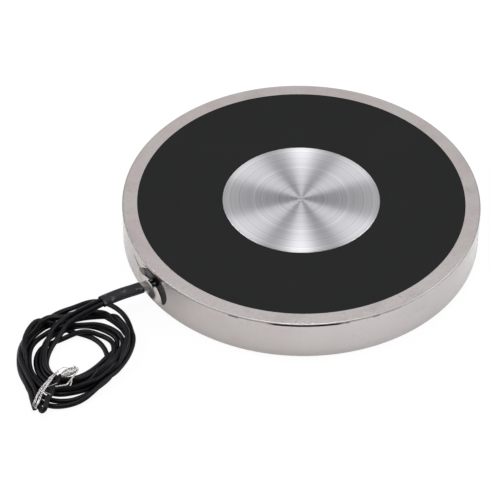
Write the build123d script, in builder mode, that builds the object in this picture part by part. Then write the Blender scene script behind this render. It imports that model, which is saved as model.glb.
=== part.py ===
"""Thin round holding electromagnet: steel pot, centre pole, cast-in coil and two leads in a hank.

Units are millimetres. The origin is the centre of the back face, +Z points out of the working
face, and the leads leave the side towards -X and lie on the surface that the back face rests on.
"""

from build123d import *
import os
from math import cos, pi, radians, sin, tan

# Pot: one turned steel piece with a thin base and a rim
body_diameter = 100.0
body_height = 12.0
rim_wall = 4.2
base_thickness = 2.4
edge_round = 0.5
groove_corner = 0.4

# Centre pole: turned apart and pressed into the base, with the fixing thread in its back
pole_diameter = 44.0
pole_edge = 0.2
spigot_diameter = 20.0
spigot_chamfer = 0.5
thread_bore = 6.8
thread_depth = 8.0
thread_mouth = 8.6

# Cable pocket: a dish milled in the rim, and the window that opens it above a sloping sill
pocket_width = 14.0
pocket_lip = 0.8
pocket_depth = 1.5
window_shift = 1.9
window_point = 7.6
point_radius = 1.0
window_reach = 1.0

# Coil: bobbin, winding and tape in the groove between pole and rim
bobbin_clearance = 0.15
bobbin_wall = 0.8
bobbin_flange = 0.8
flange_edge = 0.2
flange_overhang = 1.0
lead_space = 5.3
winding_crown = 0.3
tape_thickness = 0.3
notch_width = 1.2
notch_length = 1.6

# Casting resin
resin_recess = 0.1
resin_cover = 1.1

# Wires and joints inside the resin
wire_diameter = 0.5
joint_diameter = 1.1
joint_length = 4.0
splice_wall = 0.35
splice_clearance = 0.05
splice_length = 10.0
splice_angle = 13.0
wire_straight = 5.0
finish_angle = 30.0
start_angle = 27.0
start_clearance = 0.05
tail_bend = 2.0

# Leads and their sleeves outside
lead_diameter = 1.4
lead_gap = 0.1
clear_wall = 0.12
clear_start = 2.0
clear_length = 3.1
black_wall = 0.22
black_start = 4.6
black_length = 11.9
sleeve_clearance = 0.03

# Hank of both leads, and their bare ends on top of it
hank_height = 5.0
hank_edge = 1.0
strand_bundle = 1.1

# Places that follow from the sizes above
body_radius = body_diameter / 2
bore_radius = body_radius - rim_wall
pole_radius = pole_diameter / 2
bobbin_bore = pole_radius + bobbin_clearance
bobbin_radius = bore_radius - lead_space
winding_inner = bobbin_bore + bobbin_wall
tape_outer = bobbin_radius - flange_overhang
winding_outer = tape_outer - tape_thickness
resin_top = body_height - resin_recess
bobbin_top = resin_top - resin_cover
winding_top = bobbin_top - bobbin_flange
winding_low = base_thickness + bobbin_flange
winding_middle = (winding_low + winding_top) / 2
exit_height = body_height / 2
pocket_height = body_height - 2 * pocket_lip
floor_x = -(body_radius - pocket_depth)
window_radius = pocket_height / 2
window_start = -(bore_radius - window_reach)
pocket_rise = (pocket_width / 2) ** 2 / 2
mill_radius = pocket_rise / (pocket_depth - pocket_rise / body_radius)
mill_x = floor_x - mill_radius
lead_pitch = lead_diameter + lead_gap
splice_diameter = lead_diameter + 2 * (splice_clearance + splice_wall)
splice_radius = (bore_radius + bobbin_radius) / 2
window_plane = Plane(origin=(window_start, 0, exit_height), x_dir=(0, -1, 0), z_dir=(-1, 0, 0))
sill = [
    (-pocket_width / 2 - point_radius, -0.27 * window_radius),
    (window_shift, -0.42 * window_radius),
    (pocket_width / 2 + point_radius, -1.12 * window_radius),
]


def arc_radii(points, share=0.45):
    """Gives each corner of a route the largest arc that its two runs allow."""
    radii = []
    for before, corner, after in zip(points, points[1:], points[2:]):
        run_in = Vector(*corner) - Vector(*before)
        run_out = Vector(*after) - Vector(*corner)
        turn = run_in.get_angle(run_out)
        shorter = min(run_in.length, run_out.length)
        radii.append(share * shorter / tan(radians(turn) / 2))
    return radii


def plan(radius, angle, height):
    """Gives the point at a radius and an angle from -X, positive towards +Y."""
    return (-radius * cos(radians(angle)), radius * sin(radians(angle)), height)


def is_groove_bottom(vertex):
    """Tells the corner between the rim's bore and the base in a turned profile."""
    return (Vector(*vertex) - Vector(bore_radius, base_thickness)).length < groove_corner / 2


def is_outer_corner(vertex):
    """Tells the rim's two outer corners in a turned profile."""
    return vertex.X > body_radius - edge_round / 2


def make_dish(sink):
    """Builds the sweep of the rounded mill that cuts the pocket, sunk by a distance."""
    shoulder = mill_radius - pocket_depth
    middle = Vector(mill_x + sink, 0, exit_height)
    with BuildPart() as dish:
        with BuildSketch(Plane(origin=middle, x_dir=(1, 0, 0), z_dir=(0, -1, 0))):
            with BuildLine():
                ThreePointArc(
                    (shoulder, -pocket_height / 2),
                    (mill_radius, 0),
                    (shoulder, pocket_height / 2),
                )
                Polyline(
                    (shoulder, pocket_height / 2),
                    (0, pocket_height / 2),
                    (0, -pocket_height / 2),
                    (shoulder, -pocket_height / 2),
                )
            make_face()
        revolve(axis=Axis(middle, (0, 0, 1)))
    return dish


def make_window():
    """Builds the prism of the window: round towards -Y, pointed towards +Y, above its sill."""
    with BuildPart() as window:
        with BuildSketch(window_plane):
            with Locations((window_shift, 0)):
                Circle(window_radius)
            with Locations((window_shift - window_point, point_radius / 4)):
                Circle(point_radius)
            make_hull()
            with BuildLine():
                ThreePointArc(*sill)
                Polyline(
                    sill[2],
                    (sill[2][0], body_height),
                    (sill[0][0], body_height),
                    sill[0],
                )
            make_face(mode=Mode.INTERSECT)
        extrude(amount=body_radius)
    return window


# Pot: turned to a cup, then milled and opened for the leads
with BuildPart() as magnet_pot:
    with BuildSketch(Plane.XZ) as pot_profile:
        with BuildLine():
            Polyline(
                (spigot_diameter / 2, 0),
                (body_radius, 0),
                (body_radius, body_height),
                (bore_radius, body_height),
                (bore_radius, base_thickness),
                (spigot_diameter / 2, base_thickness),
                close=True,
            )
        make_face()
        fillet(pot_profile.vertices().filter_by(is_groove_bottom), groove_corner)
        fillet(pot_profile.vertices().filter_by(is_outer_corner), edge_round)
    revolve(axis=Axis.Z)
    add(make_window().part, mode=Mode.SUBTRACT)
    add(make_dish(0).part, mode=Mode.SUBTRACT)

# Centre pole: shoulder seated on the base, spigot pressed through it, blind thread from the back
with BuildPart() as centre_pole:
    with BuildSketch(Plane.XZ):
        with BuildLine():
            Polyline(
                (0, 0),
                (spigot_diameter / 2 - spigot_chamfer, 0),
                (spigot_diameter / 2, spigot_chamfer),
                (spigot_diameter / 2, base_thickness),
                (pole_radius, base_thickness),
                (pole_radius, body_height - pole_edge),
                (pole_radius - pole_edge, body_height),
                (0, body_height),
                close=True,
            )
        make_face()
    revolve(axis=Axis.Z)
    with Locations(Plane(origin=(0, 0, 0), z_dir=(0, 0, -1))):
        CounterSinkHole(
            radius=thread_bore / 2,
            counter_sink_radius=thread_mouth / 2,
            depth=thread_depth,
            counter_sink_angle=90,
        )

# Bobbin: two flanges on a thin wall, with a notch that lets the start wire out
with BuildPart() as coil_bobbin:
    with BuildSketch(Plane.XZ):
        with BuildLine():
            Polyline(
                (bobbin_bore, base_thickness),
                (bobbin_radius, base_thickness),
                (bobbin_radius, winding_low),
                (winding_inner, winding_low),
                (winding_inner, winding_top),
                (bobbin_radius, winding_top),
                (bobbin_radius, bobbin_top),
                (bobbin_bore, bobbin_top),
                close=True,
            )
        make_face()
    revolve(axis=Axis.Z)
    chamfer(coil_bobbin.edges().filter_by(GeomType.CIRCLE).group_by(SortBy.RADIUS)[-1], flange_edge)
    notch_place = plan(winding_inner + notch_length / 2, -start_angle, winding_top)
    with BuildSketch(Plane(origin=notch_place, x_dir=plan(1, -start_angle, 0), z_dir=(0, 0, 1))):
        SlotOverall(notch_length + notch_width, notch_width)
    extrude(amount=bobbin_flange, mode=Mode.SUBTRACT)

# Winding: enamelled copper wire, wound full and slightly crowned
with BuildPart() as coil_winding:
    with BuildSketch(Plane.XZ):
        with BuildLine():
            Line((winding_inner, winding_top), (winding_inner, winding_low))
            Line((winding_inner, winding_low), (winding_outer - winding_crown, winding_low))
            ThreePointArc(
                (winding_outer - winding_crown, winding_low),
                (winding_outer, winding_middle),
                (winding_outer - winding_crown, winding_top),
            )
            Line((winding_outer - winding_crown, winding_top), (winding_inner, winding_top))
        make_face()
    revolve(axis=Axis.Z)

# Tape: wrapped over the winding between the flanges
with BuildPart() as coil_tape:
    with BuildSketch(Plane.XZ):
        with BuildLine():
            ThreePointArc(
                (winding_outer - winding_crown, winding_low),
                (winding_outer, winding_middle),
                (winding_outer - winding_crown, winding_top),
            )
            Line(
                (winding_outer - winding_crown, winding_top),
                (tape_outer - winding_crown, winding_top),
            )
            ThreePointArc(
                (tape_outer - winding_crown, winding_top),
                (tape_outer, winding_middle),
                (tape_outer - winding_crown, winding_low),
            )
            Line(
                (tape_outer - winding_crown, winding_low),
                (winding_outer - winding_crown, winding_low),
            )
        make_face()
    revolve(axis=Axis.Z)


# Splices: each lead's inner end is soldered to a winding wire inside an insulating sleeve
def splice_point(side, along):
    """Gives a point on a splice's axis, a distance along it from its middle, away from the exit."""
    angle = radians(splice_angle)
    x = -splice_radius * cos(angle) + along * sin(angle)
    y = side * (splice_radius * sin(angle) + along * cos(angle))
    return (x, y, exit_height)


def splice_plane(side, along):
    """Gives the plane across a splice's axis at a distance from its middle."""
    step = Vector(*splice_point(side, 1)) - Vector(*splice_point(side, 0))
    return Plane(origin=splice_point(side, along), z_dir=step)


def tail_corner(side):
    """Gives the point where a lead's line through the window meets its splice's axis."""
    angle = radians(splice_angle)
    back = (splice_radius * sin(angle) - lead_pitch / 2) / cos(angle)
    return splice_point(side, -back)


def make_lead_tail(side):
    """Builds the inner end of one lead, from the pocket to its joint."""
    with BuildPart() as tail:
        with BuildLine() as path:
            FilletPolyline(
                (floor_x, side * lead_pitch / 2, exit_height),
                tail_corner(side),
                splice_point(side, -joint_length / 2),
                radius=tail_bend,
            )
        with BuildSketch(Plane(origin=path.wires()[0] @ 0, z_dir=path.wires()[0] % 0)):
            Circle(lead_diameter / 2)
        sweep(path=path.wires()[0])
    return tail


def make_splice_sleeve(side):
    """Builds the insulating sleeve over one joint."""
    with BuildPart() as sleeve:
        with BuildSketch(splice_plane(side, -splice_length / 2)):
            Circle(splice_diameter / 2)
            Circle(lead_diameter / 2 + splice_clearance, mode=Mode.SUBTRACT)
        extrude(amount=splice_length)
    return sleeve


def make_solder_joint(side):
    """Builds the soldered stretch between a lead and a winding wire."""
    with BuildPart() as joint:
        with BuildSketch(splice_plane(side, -joint_length / 2)):
            Circle(joint_diameter / 2)
        extrude(amount=joint_length)
        fillet(joint.edges().filter_by(GeomType.CIRCLE), joint_diameter / 5)
    return joint


lead_tail_1 = make_lead_tail(1)
lead_tail_2 = make_lead_tail(-1)
splice_sleeve_1 = make_splice_sleeve(1)
splice_sleeve_2 = make_splice_sleeve(-1)
solder_joint_1 = make_solder_joint(1)
solder_joint_2 = make_solder_joint(-1)

# Finish wire: from its joint to the outside of the winding, trimmed where it meets the tape
with BuildPart() as finish_tail:
    with BuildLine() as finish_path:
        FilletPolyline(
            splice_point(1, joint_length / 2),
            splice_point(1, joint_length / 2 + wire_straight),
            plan(winding_outer - winding_crown, finish_angle, exit_height),
            radius=tail_bend,
        )
    with BuildSketch(splice_plane(1, joint_length / 2)):
        Circle(wire_diameter / 2)
    sweep(path=finish_path.wires()[0])
    add(coil_tape.part, mode=Mode.SUBTRACT)
    add(coil_winding.part, mode=Mode.SUBTRACT)

# Start wire: from its joint up over the flange and down through the notch to the first layer
over_flange = bobbin_top + start_clearance + wire_diameter / 2
start_drop = winding_inner + notch_length / 2
with BuildPart() as start_tail:
    with BuildLine() as start_path:
        FilletPolyline(
            splice_point(-1, joint_length / 2),
            splice_point(-1, joint_length / 2 + wire_straight),
            plan(splice_radius, -start_angle, exit_height + wire_diameter),
            plan(splice_radius, -start_angle, over_flange),
            plan(start_drop, -start_angle, over_flange),
            plan(start_drop, -start_angle, winding_top),
            radius=wire_diameter,
        )
    with BuildSketch(splice_plane(-1, joint_length / 2)):
        Circle(wire_diameter / 2)
    sweep(path=start_path.wires()[0])

# Resin in the window: it ends just inside the pocket's dish
with BuildPart() as window_resin:
    with Locations((0, 0, exit_height)):
        Cylinder(body_radius - resin_recess, body_height)
    add(make_window().part, mode=Mode.INTERSECT)
    add(make_dish(resin_recess).part, mode=Mode.SUBTRACT)

# Resin: cast round the coil, level with the face, and out through the window
with BuildPart() as potting_resin:
    with BuildSketch(Plane.XZ) as resin_profile:
        with BuildLine():
            Polyline(
                (pole_radius, bobbin_top),
                (pole_radius, resin_top),
                (bore_radius, resin_top),
                (bore_radius, base_thickness),
                (bobbin_radius, base_thickness),
                (bobbin_radius, bobbin_top),
                close=True,
            )
        make_face()
        fillet(resin_profile.vertices().filter_by(is_groove_bottom), groove_corner)
    revolve(axis=Axis.Z)
    add(window_resin.part)
    for buried in (lead_tail_1, lead_tail_2, finish_tail, start_tail):
        add(buried.part, mode=Mode.SUBTRACT)
    for side in (1, -1):
        with BuildSketch(splice_plane(side, -splice_length / 2)):
            Circle(splice_diameter / 2)
        extrude(amount=splice_length, mode=Mode.SUBTRACT)


# Leads outside: out of the pocket, through the sleeves and down on to the hank
lead_route = [
    (floor_x, 0.0, exit_height),
    (floor_x - 5.0, 0.1, exit_height + 0.3),
    (floor_x - 11.0, 0.5, exit_height + 1.0),
    (floor_x - 17.0, 1.2, exit_height + 0.6),
    (floor_x - 21.5, 2.2, hank_height - 0.4),
]
route_radii = arc_radii(lead_route)
print("lead arc radii", [round(r, 1) for r in route_radii])


def make_route(shift):
    """Builds the leads' route, moved sideways by a distance."""
    with BuildLine() as route:
        FilletPolyline(*[(x, y + shift, z) for x, y, z in lead_route], radius=route_radii)
    return route.wires()[0]


# Hank: the outer shape of both leads' loose turns, with the hole through the middle
hank_outline = [
    (-59.8, 2.0),
    (-63.0, 7.2),
    (-69.5, 9.2),
    (-78.0, 9.4),
    (-85.5, 6.6),
    (-92.0, 0.6),
    (-96.6, -8.6),
    (-98.6, -17.0),
    (-96.6, -21.0),
    (-88.3, -22.4),
    (-78.0, -20.8),
    (-67.8, -16.0),
    (-61.6, -8.0),
]
hank_window = [
    (-87.0, -9.4),
    (-84.2, -3.8),
    (-79.6, -0.8),
    (-74.7, -2.0),
    (-72.0, -6.5),
    (-72.6, -12.2),
    (-77.5, -14.0),
    (-83.1, -12.8),
]
with BuildPart() as lead_hank:
    with BuildSketch():
        with BuildLine():
            Spline(*hank_outline, periodic=True)
        make_face()
        with BuildLine(mode=Mode.PRIVATE) as window_line:
            Spline(*hank_window, periodic=True)
        add(make_face(window_line.edges(), mode=Mode.PRIVATE), mode=Mode.SUBTRACT)
    extrude(amount=hank_height)
    chamfer(lead_hank.edges().group_by(Axis.Z)[0], hank_edge)
    chamfer(lead_hank.edges().group_by(Axis.Z)[-1], hank_edge)


def make_lead(side):
    """Builds one lead from the resin in the pocket to the top of the hank."""
    route = make_route(side * lead_pitch / 2)
    with BuildPart() as lead:
        with BuildSketch(Plane(origin=route @ 0, x_dir=(0, 1, 0), z_dir=(-1, 0, 0))):
            Circle(lead_diameter / 2)
        sweep(path=route)
        add(lead_hank.part, mode=Mode.SUBTRACT)
    whole = pi * lead_diameter**2 / 4 * route.length
    print("lead volume", round(lead.part.volume, 2), "before the hank's trim", round(whole, 2))
    return lead


lead_1 = make_lead(1)
lead_2 = make_lead(-1)


def make_sleeve(inner_width, inner_height, wall, start, length):
    """Builds an oval sleeve round both leads over one stretch of their route."""
    route = make_route(0.0)
    with BuildPart() as sleeve:
        with BuildSketch(Plane(origin=route @ 0, x_dir=(0, 1, 0), z_dir=(-1, 0, 0))):
            SlotOverall(inner_width + 2 * wall, inner_height + 2 * wall)
            SlotOverall(inner_width, inner_height, mode=Mode.SUBTRACT)
        sweep(path=route)
        split(bisect_by=Plane(origin=(floor_x - start, 0, 0), z_dir=(1, 0, 0)), keep=Keep.BOTTOM)
        split(bisect_by=Plane(origin=(floor_x - start - length, 0, 0), z_dir=(1, 0, 0)), keep=Keep.TOP)
    return sleeve


clear_inner_width = lead_pitch + lead_diameter + 2 * sleeve_clearance
clear_inner_height = lead_diameter + 2 * sleeve_clearance
clear_sleeve = make_sleeve(clear_inner_width, clear_inner_height, clear_wall, clear_start, clear_length)
black_inner_width = clear_inner_width + 2 * (clear_wall + sleeve_clearance)
black_inner_height = clear_inner_height + 2 * (clear_wall + sleeve_clearance)
black_sleeve = make_sleeve(black_inner_width, black_inner_height, black_wall, black_start, black_length)

# Bare ends: the stripped strands of each lead, bent back over the hank
strand_height = hank_height + strand_bundle / 2
strand_routes = {
    "bare_strands_1": [(-97.2, -19.0), (-94.1, -16.9), (-90.6, -15.4), (-86.6, -13.2)],
    "bare_strands_2": [(-86.9, -15.6), (-83.4, -15.6), (-84.9, -17.6), (-88.9, -19.0)],
}
strands = {}
for name, points in strand_routes.items():
    raised = [(x, y, strand_height) for x, y in points]
    with BuildPart() as bundle:
        with BuildLine() as bundle_path:
            FilletPolyline(*raised, radius=arc_radii(raised))
        bundle_route = bundle_path.wires()[0]
        with BuildSketch(Plane(origin=bundle_route @ 0, z_dir=bundle_route % 0)):
            Circle(strand_bundle / 2)
        sweep(path=bundle_route)
    strands[name] = bundle

# Every piece, by the name of its file
pieces = {
    "magnet_pot": magnet_pot,
    "centre_pole": centre_pole,
    "coil_bobbin": coil_bobbin,
    "coil_winding": coil_winding,
    "coil_tape": coil_tape,
    "start_tail": start_tail,
    "finish_tail": finish_tail,
    "splice_sleeve_1": splice_sleeve_1,
    "splice_sleeve_2": splice_sleeve_2,
    "solder_joint_1": solder_joint_1,
    "solder_joint_2": solder_joint_2,
    "lead_tail_1": lead_tail_1,
    "lead_tail_2": lead_tail_2,
    "potting_resin": potting_resin,
    "clear_sleeve": clear_sleeve,
    "black_sleeve": black_sleeve,
    "lead_1": lead_1,
    "lead_2": lead_2,
    "lead_hank": lead_hank,
    "bare_strands_1": strands["bare_strands_1"],
    "bare_strands_2": strands["bare_strands_2"],
}
os.makedirs("parts", exist_ok=True)
for name, piece in pieces.items():
    piece.part.label = name
    export_step(piece.part, f"parts/{name}.step")
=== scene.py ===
"""Looks of a thin round holding electromagnet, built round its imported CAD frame.

The magnet stands on its back with the working face up. Its two leads leave the side towards -X and
lie beside it in a loose hank. Sizes in the classes are millimetres, as a maker would write them,
and MM turns them into Blender's metres. Scales, reliefs and the studio's sizes are in metres.
"""

import logging
import math
from abc import ABC, abstractmethod
from dataclasses import dataclass, field
from enum import Enum
from typing import Iterable, Sequence

import bpy
import numpy as np
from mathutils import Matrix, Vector


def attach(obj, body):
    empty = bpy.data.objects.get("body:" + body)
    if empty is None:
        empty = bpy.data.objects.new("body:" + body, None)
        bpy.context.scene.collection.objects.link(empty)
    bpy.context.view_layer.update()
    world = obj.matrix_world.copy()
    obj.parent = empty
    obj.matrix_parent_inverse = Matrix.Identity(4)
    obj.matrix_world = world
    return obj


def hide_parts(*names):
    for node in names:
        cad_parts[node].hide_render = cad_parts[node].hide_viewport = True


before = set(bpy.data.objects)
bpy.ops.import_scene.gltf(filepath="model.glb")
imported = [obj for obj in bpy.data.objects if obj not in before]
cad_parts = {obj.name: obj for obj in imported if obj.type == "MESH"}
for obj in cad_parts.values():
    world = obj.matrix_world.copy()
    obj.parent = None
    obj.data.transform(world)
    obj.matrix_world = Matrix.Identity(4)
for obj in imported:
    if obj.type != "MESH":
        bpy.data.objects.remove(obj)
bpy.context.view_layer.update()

MM = 0.001
BODY = "root"
LOG = logging.getLogger("holding_electromagnet")

Colour = tuple[float, float, float]
Point = tuple[float, float, float]
Socket = bpy.types.NodeSocket
BLACK: Colour = (0.0, 0.0, 0.0)
UP = np.array([0.0, 0.0, 1.0])
NOISE_RANGE = (0.3, 0.7)        # most of a noise lies in it


class Slot(Enum):
    """The record's material slots."""

    NICKEL_PLATE = "nickel_plated_steel"
    TURNED_STEEL = "turned_steel"
    RESIN = "casting_resin"
    CLEAR_SLEEVING = "clear_sleeving"
    BLACK_SLEEVING = "black_sleeving"
    LEAD_INSULATION = "lead_insulation"
    TINNED_COPPER = "tinned_copper"
    BOBBIN_PLASTIC = "bobbin_plastic"
    ENAMELLED_COPPER = "enamelled_copper"
    COIL_TAPE = "coil_tape"
    SOLDER = "solder"


class Side(Enum):
    """The two sides that the leads and their joints lie on, as the sign of their Y."""

    UPPER = 1
    LOWER = -1


@dataclass(frozen=True)
class Mark:
    """A soft mark on a surface, such as a stain, painted shade or a painted glint, inside an
    ellipsoid.

    Attributes:
        place: Its middle, in millimetres.
        reach: Its half sizes along X, Y and Z, in millimetres.
        strength: How much of it shows in its middle.
        colour: Its colour, linear.
        core: How much of its reach is as strong as its middle.
    """

    place: Point
    reach: Point
    strength: float
    colour: Colour
    core: float = 0.3


@dataclass(frozen=True)
class EdgeReflection:
    """A stretch of painted dark reflection just under the rim's outer edge.

    Attributes:
        start: The bearing at which it starts, in degrees.
        end: The bearing at which it ends.
        strength: How dark it is.
    """

    start: float
    end: float
    strength: float


@dataclass(frozen=True)
class Mottle:
    """A soft noise over a surface, and the part of it that shows.

    Attributes:
        scale: Its features for each metre.
        low: The level at which it starts to show.
        high: The level from which it shows fully.
        strength: How much of it shows there.
        detail: Octaves of finer noise.
        rough: How strong the finer octaves are.
        stretch: Factors for its scale along X, Y and Z.
    """

    scale: float
    low: float = 0.0
    high: float = 1.0
    strength: float = 1.0
    detail: float = 2.0
    rough: float = 0.5
    stretch: Point | None = None


@dataclass(frozen=True)
class Relief:
    """A fine unevenness, raised by bump.

    Attributes:
        depth: Its real depth in metres.
        strength: How much of it shows.
    """

    depth: float
    strength: float = 1.0


class NodeGraph:
    """A node tree while it is wired.

    Attributes:
        tree: The tree.
        place: What its textures are read at: a place in metres, or a direction in the world's tree.
    """

    def __init__(self, owner: bpy.types.Material | bpy.types.World, place: str) -> None:
        """Opens the tree of a material or world.

        Args:
            owner: The material or world.
            place: The coordinate that its textures are read at.
        """
        owner.use_nodes = True
        self.tree = owner.node_tree
        self.place = self.node("ShaderNodeTexCoord").outputs[place]

    def node(self, kind: str, **settings: object) -> bpy.types.Node:
        """Adds a node.

        Args:
            kind: The node's type.
            settings: Values for the node's own properties.

        Returns:
            The new node.
        """
        made = self.tree.nodes.new(kind)
        for key, value in settings.items():
            setattr(made, key, value)
        return made

    def feed(self, target: Socket, value: Socket | float | Sequence[float]) -> None:
        """Links a socket to an input, or sets the input to a plain value.

        Args:
            target: The input.
            value: What goes into it.
        """
        if isinstance(value, bpy.types.NodeSocket):
            self.tree.links.new(value, target)
        else:
            target.default_value = value

    def stretched(self, scale: Point) -> Socket:
        """Scales the place along each axis.

        Args:
            scale: The factor for each axis.

        Returns:
            The scaled place.
        """
        mapping = self.node("ShaderNodeMapping")
        self.feed(mapping.inputs["Vector"], self.place)
        mapping.inputs["Scale"].default_value = scale
        return mapping.outputs["Vector"]

    def lined_up(self, value: Socket) -> Socket:
        """Turns one number into a place, for noise that changes along it alone.

        Args:
            value: The number.

        Returns:
            The place.
        """
        made = self.node("ShaderNodeCombineXYZ")
        self.feed(made.inputs["X"], value)
        return made.outputs["Vector"]

    def noise(self, mottle: Mottle, where: Socket | None = None) -> Socket:
        """Adds the noise of a mottle.

        Args:
            mottle: The mottle.
            where: The place that it is read at, or the row frame's when left out.

        Returns:
            The noise, from 0 to 1.
        """
        made = self.node("ShaderNodeTexNoise")
        place = where or (self.stretched(mottle.stretch) if mottle.stretch else self.place)
        self.feed(made.inputs["Vector"], place)
        self.feed(made.inputs["Scale"], mottle.scale)
        self.feed(made.inputs["Detail"], mottle.detail)
        self.feed(made.inputs["Roughness"], mottle.rough)
        return made.outputs["Fac"]

    def calc(self, operation: str, *values: Socket | float) -> Socket:
        """Adds a calculation with one or more values.

        Args:
            operation: Blender's name of the operation.
            values: The values that it takes.

        Returns:
            The result.
        """
        made = self.node("ShaderNodeMath", operation=operation)
        for target, value in zip(made.inputs, values):
            self.feed(target, value)
        return made.outputs["Value"]

    def product(self, first: Socket, *others: Socket | float) -> Socket:
        """Multiplies values.

        Args:
            first: The first value.
            others: What it is multiplied by.

        Returns:
            The product.
        """
        result = first
        for other in others:
            result = self.calc("MULTIPLY", result, other)
        return result

    def spread(
        self, value: Socket, low: float, high: float, to_low: float = 0.0, to_high: float = 1.0
    ) -> Socket:
        """Maps a value from one range to another, and holds it inside.

        Args:
            value: The value.
            low: The start of its range.
            high: The end of its range.
            to_low: What the start becomes.
            to_high: What the end becomes.

        Returns:
            The mapped value.
        """
        made = self.node("ShaderNodeMapRange")
        keys = ("Value", "From Min", "From Max", "To Min", "To Max")
        for key, number in zip(keys, (value, low, high, to_low, to_high)):
            self.feed(made.inputs[key], number)
        return made.outputs["Result"]

    def shown(self, noise: Socket, mottle: Mottle) -> Socket:
        """Gives how much of a mottle's noise shows at each place."""
        return self.spread(noise, mottle.low, mottle.high, 0.0, mottle.strength)

    def mottled(self, tone: Socket | Colour, mottle: Mottle, patch: Colour) -> Socket:
        """Lays a mottle over a colour.

        Args:
            tone: The colour.
            mottle: The mottle.
            patch: Its colour.

        Returns:
            The mottled colour.
        """
        return self.blend(self.shown(self.noise(mottle), mottle), tone, patch)

    def band(self, value: Socket, low: float, high: float, soft: float) -> Socket:
        """Picks out a range of a value, with soft ends.

        Args:
            value: The value.
            low: Where the range starts.
            high: Where it ends.
            soft: How far each end fades, inside the range.

        Returns:
            1 inside the range and 0 outside it.
        """
        start = self.spread(value, low, low + soft)
        return self.product(start, self.spread(value, high - soft, high, 1.0, 0.0))

    def blend(self, share: Socket, first: Socket | Colour, second: Socket | Colour) -> Socket:
        """Mixes two colours.

        Args:
            share: How much of the second colour shows.
            first: The first colour.
            second: The second colour.

        Returns:
            The mixed colour.
        """
        made = self.node("ShaderNodeMix", data_type="RGBA")
        self.feed(made.inputs["Factor"], share)
        for key, colour in (("A", first), ("B", second)):
            target = next(s for s in made.inputs if s.name == key and s.type == "RGBA")
            plain = not isinstance(colour, bpy.types.NodeSocket)
            self.feed(target, (*colour, 1.0) if plain else colour)
        return next(s for s in made.outputs if s.type == "RGBA")

    def axes(self) -> tuple[Socket, Socket, Socket]:
        """Splits the place into X, Y and Z.

        Returns:
            The three coordinates, in metres.
        """
        split = self.node("ShaderNodeSeparateXYZ")
        self.feed(split.inputs[0], self.place)
        return split.outputs["X"], split.outputs["Y"], split.outputs["Z"]

    def radius(self) -> Socket:
        """Gives the distance from the magnet's axis, in metres."""
        x, y, _ = self.axes()
        return self.calc("SQRT", self.calc("ADD", self.product(x, x), self.product(y, y)))

    def bearing(self) -> Socket:
        """Gives the bearing round the magnet's axis from +X, in degrees from -180 to 180."""
        x, y, _ = self.axes()
        return self.calc("DEGREES", self.calc("ARCTAN2", y, x))

    def along(self, bearing: float) -> Socket:
        """Gives how far the place lies towards a bearing.

        Args:
            bearing: The bearing, in degrees from +X.

        Returns:
            How far it lies from the magnet's axis that way.
        """
        x, y, _ = self.axes()
        angle = math.radians(bearing)
        return self.calc("MULTIPLY_ADD", x, math.cos(angle), self.product(y, math.sin(angle)))

    def ridges(self, rate: float) -> Socket:
        """Adds even ridges, one above the other.

        Args:
            rate: How fast they follow each other, in radians for each metre.

        Returns:
            The ridges, from 0 to 1.
        """
        _, _, height = self.axes()
        return self.spread(self.calc("SINE", self.product(height, rate)), -1.0, 1.0)

    def near(self, mark: Mark) -> Socket:
        """Picks out the place of a soft mark.

        Args:
            mark: The mark.

        Returns:
            The mark's strength in its middle, down to 0 at its edge.
        """
        shift = self.node("ShaderNodeVectorMath", operation="SUBTRACT")
        self.feed(shift.inputs[0], self.place)
        shift.inputs[1].default_value = tuple(value * MM for value in mark.place)
        shape = self.node("ShaderNodeVectorMath", operation="DIVIDE")
        self.feed(shape.inputs[0], shift.outputs["Vector"])
        shape.inputs[1].default_value = tuple(value * MM for value in mark.reach)
        far = self.node("ShaderNodeVectorMath", operation="LENGTH")
        self.feed(far.inputs[0], shape.outputs["Vector"])
        return self.spread(far.outputs["Value"], mark.core, 1.0, mark.strength, 0.0)

    def marked(self, tone: Socket | Colour, marks: Iterable[Mark]) -> Socket | Colour:
        """Lays soft marks over a colour.

        Args:
            tone: The colour.
            marks: The marks, each over the one before.

        Returns:
            The colour with its marks.
        """
        for mark in marks:
            tone = self.blend(self.near(mark), tone, mark.colour)
        return tone


class SurfaceShader(NodeGraph):
    """The node tree of one material.

    Attributes:
        material: The material that the tree belongs to.
        surface: Its Principled shader.
    """

    def __init__(self, name: str) -> None:
        """Makes a material with a Principled shader.

        Args:
            name: The material's name.
        """
        self.material = bpy.data.materials.new(name)
        super().__init__(self.material, "Object")
        self.surface = self.tree.nodes["Principled BSDF"]

    def plain(self, **values: float | Sequence[float]) -> None:
        """Sets values on the Principled shader's own sockets.

        Args:
            values: Values by socket name, with underscores for spaces.
        """
        for key, value in values.items():
            self.surface.inputs[key.replace("_", " ")].default_value = value

    def paint(self, colour: Socket) -> None:
        """Sets the surface's colour."""
        self.feed(self.surface.inputs["Base Color"], colour)

    def gloss(self, roughness: Socket) -> None:
        """Sets the surface's roughness."""
        self.feed(self.surface.inputs["Roughness"], roughness)

    def raise_by(self, height: Socket, relief: Relief) -> None:
        """Raises the surface by bump.

        Args:
            height: The height at each place, from 0 to 1.
            relief: How deep it is and how much of it shows.
        """
        made = self.node("ShaderNodeBump")
        self.feed(made.inputs["Height"], height)
        made.inputs["Distance"].default_value = relief.depth
        made.inputs["Strength"].default_value = relief.strength
        self.feed(self.surface.inputs["Normal"], made.outputs["Normal"])


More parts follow.
